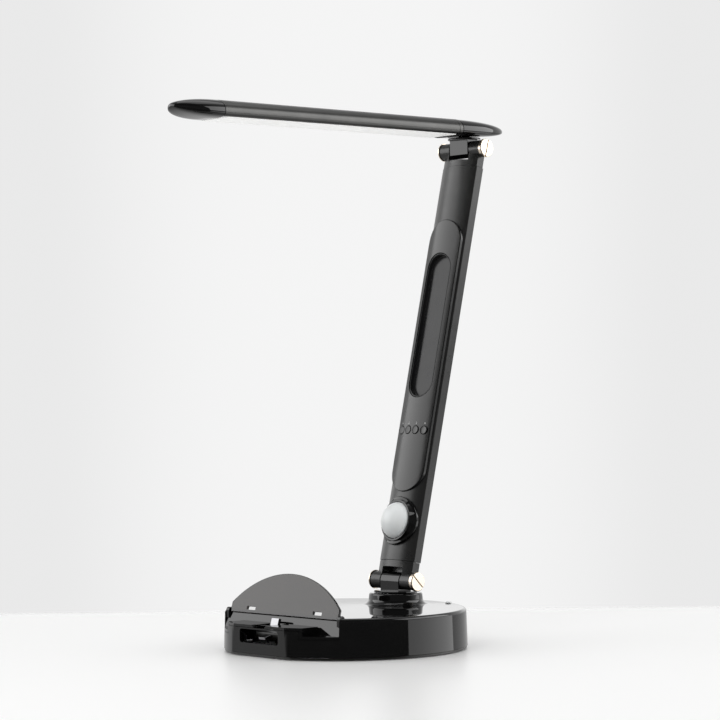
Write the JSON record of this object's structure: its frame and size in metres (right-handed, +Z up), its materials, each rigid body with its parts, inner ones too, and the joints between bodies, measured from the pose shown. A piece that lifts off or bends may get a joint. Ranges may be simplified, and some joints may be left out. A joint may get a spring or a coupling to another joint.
{
  "type": "led desk lamp",
  "caption": "LED desk lamp: flat tilting head on a leaning arm with display, buttons and motion sensor, on a weighted round base with a device dock and fold-down rest.",
  "frame": {"origin": "middle of the underside of the round base, on the surface it stands on", "axes": "+Z up, -Y towards the front with the dock and under the head, +X to the right seen from the front"},
  "size_m": [0.182, 0.337, 0.405],
  "materials": {
    "gloss_black": "piano gloss",
    "satin_black": "satin moulded",
    "black_aluminium": "satin black anodised",
    "smoked_plastic": "clear smoked",
    "pale_gold": "pale gold plate",
    "steel": "zinc plate",
    "plug_steel": "bright",
    "black_rubber": "matt",
    "milky_plastic": "milky",
    "diffuser_white": "frosted",
    "dark_window": "smoked window",
    "green_board": "solder mask",
    "white_board": "white solder mask"
  },
  "bodies": {
    "base": {"base_cover": "gloss_black", "base_plate": "satin_black", "base_screw_1": "steel", "base_screw_2": "steel", "base_screw_3": "steel", "base_screw_4": "steel", "base_pad": "black_rubber", "ballast_plate": "steel", "base_circuit_board": "green_board", "dc_inlet": "black_rubber", "usb_outlet": "steel", "indicator_lens": "milky_plastic", "dock_tray": "gloss_black", "connector_pin": "steel"},
    "backrest": {"dock_backrest": "smoked_plastic"},
    "connector": {"connector_drum": "satin_black", "connector_plug_1": "plug_steel", "connector_plug_2": "plug_steel", "connector_plug_3": "plug_steel"},
    "turntable": {"swivel_knuckle": "gloss_black", "swivel_nut": "steel"},
    "arm": {"arm_lower_fork": "gloss_black", "arm_upper_fork": "gloss_black", "arm_front_shell": "satin_black", "arm_back_cover": "satin_black", "arm_screw_1": "steel", "arm_screw_2": "steel", "arm_screw_3": "steel", "arm_screw_4": "steel", "control_panel": "gloss_black", "display_window": "dark_window", "display_module": "black_rubber", "arm_circuit_board": "green_board", "sensor_ring": "gloss_black", "sensor_dome": "milky_plastic", "motion_sensor": "steel", "lower_hinge_bolt": "pale_gold", "lower_hinge_sleeve_nut": "pale_gold", "upper_hinge_bolt": "pale_gold", "upper_hinge_sleeve_nut": "pale_gold", "lower_hinge_washer_1": "black_rubber", "lower_hinge_washer_2": "black_rubber", "upper_hinge_washer_1": "black_rubber", "upper_hinge_washer_2": "black_rubber"},
    "button_1": {"button_1": "gloss_black"},
    "button_2": {"button_2": "gloss_black"},
    "button_3": {"button_3": "gloss_black"},
    "button_4": {"button_4": "gloss_black"},
    "head_hinge": {"head_knuckle": "gloss_black", "head_swivel_nut": "steel"},
    "head": {"head_profile": "black_aluminium", "head_front_cap": "gloss_black", "head_rear_cap": "gloss_black", "diffuser": "diffuser_white", "led_board": "white_board"}
  },
  "joints": [
    {"name": "base_swivel", "type": "hinge", "parent": "base", "child": "turntable", "pos_m": [0, 0.0524, 0], "axis": [0, 0, 1], "range_deg": [-60, 60]},
    {"name": "arm_tilt", "type": "hinge", "parent": "turntable", "child": "arm", "pos_m": [0, 0.0524, 0.0476], "axis": [1, 0, 0], "range_deg": [-15, 60]},
    {"name": "head_tilt", "type": "hinge", "parent": "arm", "child": "head_hinge", "pos_m": [0, 0.13331, 0.38179], "axis": [1, 0, 0], "range_deg": [-40, 60]},
    {"name": "head_swivel", "type": "hinge", "parent": "head_hinge", "child": "head", "pos_m": [0, 0.13331, 0.38179], "axis": [0, -0.0182, 0.9998], "range_deg": [-90, 90]},
    {"name": "backrest_fold", "type": "hinge", "parent": "base", "child": "backrest", "pos_m": [0, -0.0615, 0.0294], "axis": [1, 0, 0], "range_deg": [0, 107]},
    {"name": "connector_turn", "type": "hinge", "parent": "base", "child": "connector", "pos_m": [0, -0.072, 0.0162], "axis": [1, 0, 0], "range_deg": [-120, 120]},
    {"name": "button_1_press", "type": "slide", "parent": "arm", "child": "button_1", "axis": [0, 0.9719, -0.2353], "range_m": [0, 0.0005], "stiffness_N_per_m": 600},
    {"name": "button_2_press", "type": "slide", "parent": "arm", "child": "button_2", "axis": [0, 0.9719, -0.2353], "range_m": [0, 0.0005], "stiffness_N_per_m": 600},
    {"name": "button_3_press", "type": "slide", "parent": "arm", "child": "button_3", "axis": [0, 0.9719, -0.2353], "range_m": [0, 0.0005], "stiffness_N_per_m": 600},
    {"name": "button_4_press", "type": "slide", "parent": "arm", "child": "button_4", "axis": [0, 0.9719, -0.2353], "range_m": [0, 0.0005], "stiffness_N_per_m": 600}
  ]
}
